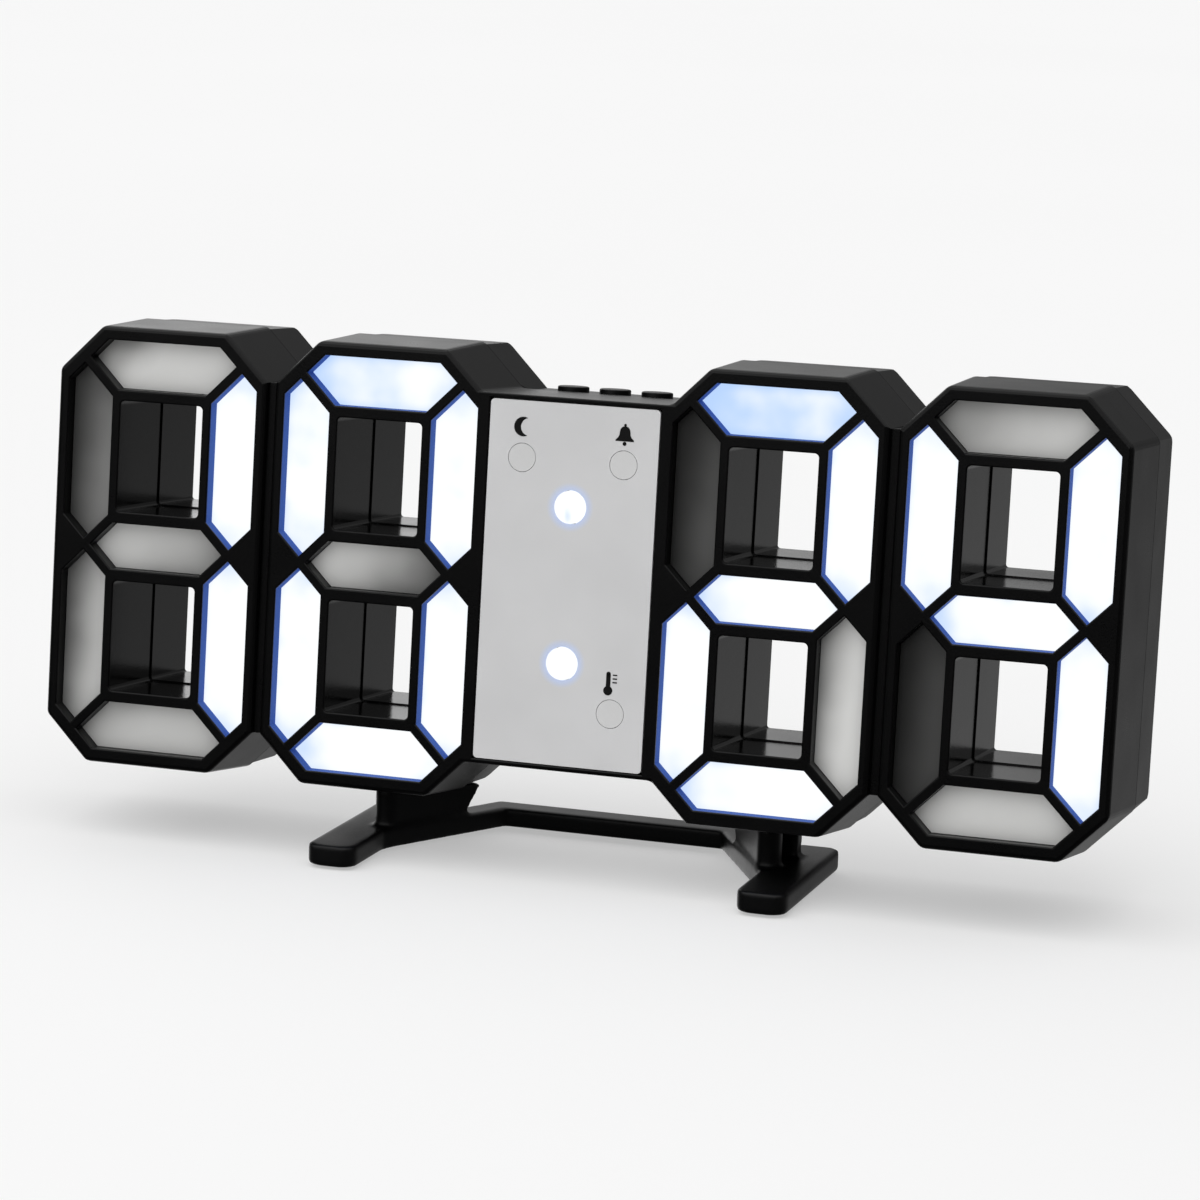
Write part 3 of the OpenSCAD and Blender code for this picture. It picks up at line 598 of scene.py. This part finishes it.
# %% [markdown]
# No moulded edge is sharp. The CAD meshes are loose triangles, so a Weld joins them, and a planar Decimate
# takes out the lines inside flat faces. A Bevel then rounds the edges that are left. The meshes themselves
# are not touched: all of it is done by modifiers. The door and the keys are plain enough for a bevel by
# angle.

# %% Joined and rounded
WELD_GAP = 1e-6
FLAT_ANGLE = math.radians(0.5)
SHARP_ANGLE = math.radians(30)
SMALL_EDGES = {"cell_door": 0.20, "button_left": 0.35, "button_middle": 0.35, "button_right": 0.35}


def joined(node):
    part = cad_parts[node]
    part.modifiers.new("join", "WELD").merge_threshold = WELD_GAP
    flat = part.modifiers.new("flats", "DECIMATE")
    flat.decimate_type = "DISSOLVE"
    flat.angle_limit = FLAT_ANGLE
    return part


def rounded(part, width, segments, by_weight=False):
    """Rounds the sharp edges by a width in millimetres, or the weighted edges by their share of it."""
    edge = part.modifiers.new("edges", "BEVEL")
    edge.width = width * MM
    edge.segments = segments
    edge.profile = 0.5
    edge.limit_method = "WEIGHT" if by_weight else "ANGLE"
    edge.angle_limit = SHARP_ANGLE
    edge.use_clamp_overlap = not by_weight
    part.modifiers.new("shading", "WEIGHTED_NORMAL").keep_sharp = True


for node, width in SMALL_EDGES.items():
    rounded(joined(node), width, 2)
print(len(SMALL_EDGES), "small parts rounded")

# %% [markdown]
# The two housings need a choice of edges. Their outer edges are rounded by almost a millimetre and the rims
# of pockets and windows by a quarter of one, while the crowded ribs inside stay as they are. A small node
# group picks edges by depth: those in the front or rear face, and the long corners that start there. It
# stores a bevel weight for each, and the Bevel follows the weights. Where two digits meet, their corners
# run into each other, and a bevel would tear there, so these stay sharp. All edges that aren't rounded are
# marked sharp, so that the shading breaks cleanly at them.

# %% Edge picker
RIM_SHARE = 0.3
# how near an edge's end is to a face that it counts as in, and how far from a join edges are rounded
IN_FACE = 0.2
JOIN_CLEAR = 3.0
JOIN_X = (DIGIT_X[3] + DIGIT_X[4]) / 2
# the outer walls have draft, so their front edges turn by a little less than a right angle
DRAFT_ANGLE = math.radians(88.6)


def edge_picker(name, face, reach):
    """A modifier group that weights the sharp edges in a face, and the long edges that start in it."""
    group = bpy.data.node_groups.new(name, "GeometryNodeTree")
    for way in ("INPUT", "OUTPUT"):
        group.interface.new_socket("Geometry", in_out=way, socket_type="NodeSocketGeometry")
    picker = Finish(name, group)
    ends = [picker.add("GeometryNodeInputMeshEdgeVertices", out=f"Position {k}") for k in (1, 2)]
    first, second = (abs(picker.along(INWARD, ROW_MIDDLE + INWARD * face * MM, end)) for end in ends)
    near, far = first.least(second), first.most(second)
    starts = 1 - near.above(IN_FACE * MM)
    flat = 1 - far.above(IN_FACE * MM)
    long = far.above(reach * MM)
    side = picker.add("ShaderNodeSeparateXYZ", None, {0: ends[0]}, out="X")
    clear = abs(abs(side) - JOIN_X * MM).above(JOIN_CLEAR * MM)
    turn = picker.add("GeometryNodeInputMeshEdgeAngle", out="Unsigned Angle")
    sharp = turn.above(SHARP_ANGLE)
    outer = 1 - turn.above(DRAFT_ANGLE)
    picked = starts * sharp * flat.most(long * clear)
    kept = picker.add("NodeGroupInput")
    for kind, label, value in (
        ("FLOAT", "bevel_weight_edge", picked * (RIM_SHARE + (1 - RIM_SHARE) * outer)),
        ("BOOLEAN", "sharp_edge", sharp * (1 - picked)),
    ):
        kept = picker.add(
            "GeometryNodeStoreNamedAttribute", {"data_type": kind, "domain": "EDGE"},
            {"Geometry": kept, "Name": label, "Value": value},
        )
    picker.feed(group.nodes.new("NodeGroupOutput").inputs[0], kept)
    return group


print("edge picker ready")

# %% [markdown]
# The picker goes between the joining and the bevel. It needs the depth of each housing's outer face, and
# the least length of a corner that starts in it, because the short edges that run inwards there belong to
# ribs.

# %% Rounded housings
HOUSING_EDGE = 0.85
HOUSING_FACES = {"front_housing": (0.0, 8.0), "rear_cover": (37.0, 1.9)}

for node, (face, reach) in HOUSING_FACES.items():
    part = joined(node)
    part.modifiers.new("pick", "NODES").node_group = edge_picker(f"{node}_edges", face, reach)
    rounded(part, HOUSING_EDGE, 3, by_weight=True)
print("housings rounded")

# %% [markdown]
# The stand is one thick moulding whose feet, webs and bar run into each other in soft bends. A Bevel fails
# where so many short edges meet. A Remesh turns the stand into a fine even skin instead, and a Smooth draws
# that skin tight, which rounds every edge and fills every inner corner by about the same radius.

# %% Soft stand
SKIN_STEP = 0.45
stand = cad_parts["stand"]
stand.modifiers.new("join", "WELD").merge_threshold = WELD_GAP
skin = stand.modifiers.new("skin", "REMESH")
skin.mode = "VOXEL"
skin.voxel_size = SKIN_STEP * MM
skin.use_smooth_shade = True
tight = stand.modifiers.new("tight", "SMOOTH")
tight.factor = 0.5
tight.iterations = 10
print("stand softened")

# %% [markdown]
# Beside each indicator the panel carries a small printed sign. They are plain pictures that anyone may use:
# a moon for the night half of the day, a bell for the alarm and a thermometer for the temperature. Ink is a
# deep, dull black with a little grain.

# %% Ink
ink = Finish("sign_ink")
ink_grain = ink.noise(0.00025, 2.0)
ink.set(
    Base_Color=ink.blend(ink_grain, colour(0.004, 0.004, 0.004), colour(0.008, 0.008, 0.008)),
    Roughness=0.50 + ink_grain * 0.15,
    Specular_IOR_Level=0.15,
)
print("ink mixed")

# %% [markdown]
# A sign could be painted on by a mask in the panel's finish, but a thin shape of its own keeps its outline
# crisp at any size. Each sign is drawn flat from arcs, discs and strips, given the thickness of a film of
# ink, and laid on the panel.

# %% Flat shapes
def arc(bm, start, centre, degrees, steps):
    """An arc of edges, from a point turned about a centre, in the plane of the panel."""
    first = bm.verts.new((*start, 0))
    bmesh.ops.spin(
        bm, geom=[first], cent=(*centre, 0), axis=(0, 0, 1), angle=math.radians(degrees), steps=steps
    )


def disc(bm, centre, radius, steps=24):
    bmesh.ops.create_circle(
        bm, cap_ends=True, segments=steps, radius=radius, matrix=Matrix.Translation((*centre, 0))
    )


def strip(bm, centre, half_x, half_y):
    bmesh.ops.create_grid(
        bm, x_segments=1, y_segments=1, size=1.0,
        matrix=Matrix.Translation((*centre, 0)) @ Matrix.Diagonal((half_x, half_y, 1, 1)),
    )


print("flat shapes ready")

# %% [markdown]
# Printing a sign turns its flat shape into a film: the doubles are merged, all faces are turned one way,
# and an extrude gives the thickness. The film then goes to its place on the panel, leans with it and rides
# on the clock.

# %% Printing a sign
PANEL_FACE = 0.1
INK_FILM = 0.04
SIGN_SIZE = 1.3
SIGN_SIDE, SIGN_HIGH, SIGN_LOW = 10.2, 29.7, -17.9
DOUBLES = 1e-4


def print_sign(name, bm, side, height):
    """Gives the flat shape its film thickness and lays it on the panel."""
    bmesh.ops.remove_doubles(bm, verts=bm.verts, dist=DOUBLES)
    bmesh.ops.recalc_face_normals(bm, faces=bm.faces)
    for face in bm.faces:
        if face.normal.z < 0:
            face.normal_flip()
    top = bmesh.ops.extrude_face_region(bm, geom=bm.faces[:])
    raised = [v for v in top["geom"] if isinstance(v, bmesh.types.BMVert)]
    bmesh.ops.translate(bm, verts=raised, vec=(0, 0, INK_FILM))
    bmesh.ops.recalc_face_normals(bm, faces=bm.faces)
    # the shape was drawn flat on the floor: stand it up, move it to its place, lean it with the row
    stand_up = Matrix.Rotation(math.radians(90), 4, "X") @ Matrix.Scale(SIGN_SIZE, 4)
    place = LEAN_PLACE @ Matrix.Scale(MM, 4) @ Matrix.Translation((side, PANEL_FACE, height))
    bmesh.ops.transform(bm, verts=bm.verts, matrix=place @ stand_up)
    mesh = bpy.data.meshes.new(name)
    bm.to_mesh(mesh)
    bm.free()
    sign = bpy.data.objects.new(name, mesh)
    bpy.context.scene.collection.objects.link(sign)
    mesh.materials.append(ink.material)
    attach(sign, "clock")
    print("sign", name, len(mesh.polygons), "faces")


print("printing ready")

# %% [markdown]
# The moon is a sickle between two arcs. Both start at the upper horn and end at the lower one: the outer
# arc turns about the sign's middle, and the inner one about a point to the right of it. Spinning one vertex
# makes an arc, and the closed loop of the two is filled.

# %% Moon
HORN = (0.66, 1.28)
moon = bmesh.new()
for centre_x in (0.0, 0.92):
    horn_angle = math.degrees(math.atan2(HORN[1], HORN[0] - centre_x))
    arc(moon, HORN, (centre_x, 0.0), 360 - 2 * horn_angle, 30)
bmesh.ops.remove_doubles(moon, verts=moon.verts, dist=DOUBLES)
bmesh.ops.edgeloop_fill(moon, edges=moon.edges[:])
print_sign("sign_moon", moon, -SIGN_SIDE, SIGN_HIGH)

# %% [markdown]
# The bell starts as a strip of rows. Each row is scaled to the bell's width at that height, which gives the
# dome and the flared lip, and two discs make the clapper and the knob.

# %% Bell
# height and half width of each row, from the lip up
BELL_ROWS = (
    (-1.05, 1.42), (-0.80, 1.36), (-0.50, 1.02), (-0.10, 0.84),
    (0.35, 0.80), (0.75, 0.70), (1.02, 0.48), (1.15, 0.20),
)
bell = bmesh.new()
bmesh.ops.create_grid(bell, x_segments=1, y_segments=len(BELL_ROWS) - 1, size=1.0)
for v in bell.verts:
    row_height, half_width = BELL_ROWS[round((v.co.y + 1) / 2 * (len(BELL_ROWS) - 1))]
    v.co = (v.co.x * half_width, row_height, 0)
disc(bell, (0, -1.40), 0.30, 16)
disc(bell, (0, 1.32), 0.20, 14)
print_sign("sign_bell", bell, SIGN_SIDE, SIGN_HIGH)

# %% [markdown]
# The thermometer is a bulb under a round-ended stem, with three short marks beside it. A straight strip
# between two discs makes the stem, so every part of it comes from a plain shape.

# %% Thermometer
STEM_X, STEM_HALF = -0.5, 0.34
MARK_X, MARK_START, MARK_STEP = 0.50, 0.15, 0.55
glass = bmesh.new()
disc(glass, (STEM_X, -1.10), 0.70)
strip(glass, (STEM_X, 0.30), STEM_HALF, 1.06)
disc(glass, (STEM_X, 1.36), STEM_HALF, 18)
for k in range(3):
    strip(glass, (MARK_X, MARK_START + MARK_STEP * k), STEM_HALF, 0.095)
print_sign("sign_thermometer", glass, SIGN_SIDE, SIGN_LOW)

# %% [markdown]
# The floor is a pale sheet that runs far past the picture's edge, so it also serves as background. It glows
# a little by itself, which makes it nearly white without more light on the clock and still leaves it a
# shadow. Reflections don't show it, so that the black plastic stays black.

# %% Floor
FLOOR_HALF = 14.0
FLOOR_GLOW = colour(0.425, 0.425, 0.425)
floor_bm = bmesh.new()
bmesh.ops.create_grid(floor_bm, x_segments=1, y_segments=1, size=FLOOR_HALF)
floor_mesh = bpy.data.meshes.new("floor")
floor_bm.to_mesh(floor_mesh)
floor_bm.free()
floor = bpy.data.objects.new("floor", floor_mesh)
bpy.context.scene.collection.objects.link(floor)
floor_finish = Finish("floor_white")
floor_cloud = floor_finish.noise(0.6, 1.0)
floor_finish.set(
    Base_Color=floor_finish.blend(floor_cloud, colour(0.49, 0.49, 0.49), colour(0.51, 0.51, 0.51)),
    Roughness=0.9,
    Specular_IOR_Level=0.0,
    Emission_Color=FLOOR_GLOW,
    Emission_Strength=1.0,
)
floor_mesh.materials.append(floor_finish.material)
floor.visible_glossy = False
print("floor laid")

# %% [markdown]
# The sky stands for the studio. It is pale overhead and has a pale wall at the back on the left, which the
# tops of the digits reflect, and a faint glow low at the back, for the right-hand walls. The camera's side
# is dark, as a photographer keeps it when the object is black. A few soft steps over the direction say all
# that, and no panels are needed that might get into the picture.

# %% Sky
world = bpy.data.worlds.new("studio")
bpy.context.scene.world = world
world.use_nodes = True
sky = Finish("studio", world.node_tree)
way = sky.add("ShaderNodeTexCoord", out="Generated")
side, depth, height = (sky.add("ShaderNodeSeparateXYZ", None, {0: way}, out=axis) for axis in "XYZ")
overhead = height.ease(0.20, 0.95)
left_wall = (0 - side).ease(0.10, 0.50) * depth.ease(0.2, 0.8)
behind = depth.ease(-0.5, 0.8)
low_glow = (0 - height).ease(0.02, 0.30) * depth.ease(0.3, 0.9)
DARKEST = 0.03
brightness = overhead * 0.85 + left_wall * 1.05 + behind * 0.10 + low_glow * 0.20 + DARKEST
sky.feed(world.node_tree.nodes["Background"].inputs["Color"], brightness)
print("sky set")

# %% [markdown]
# Two wide lamps do the rest: a big soft key from the upper left and front, which lights the panel and
# throws the pale shadow to the back and right, and a weak one from the right, which lifts the right-hand
# walls a little. Suns with a wide angle are used, so that the floor is lit evenly out to the horizon.

# %% Lamps
def soft_sun(name, strength, angle, direction):
    data = bpy.data.lights.new(name, "SUN")
    data.energy = strength
    data.angle = math.radians(angle)
    lamp = bpy.data.objects.new(name, data)
    bpy.context.scene.collection.objects.link(lamp)
    lamp.rotation_euler = Vector(direction).to_track_quat("-Z", "Y").to_euler()


soft_sun("key_light", 1.35, 90, (0.35, 0.75, -1.0))
soft_sun("side_light", 0.12, 70, (-1.0, 0.1, -0.55))
print("lamps set")
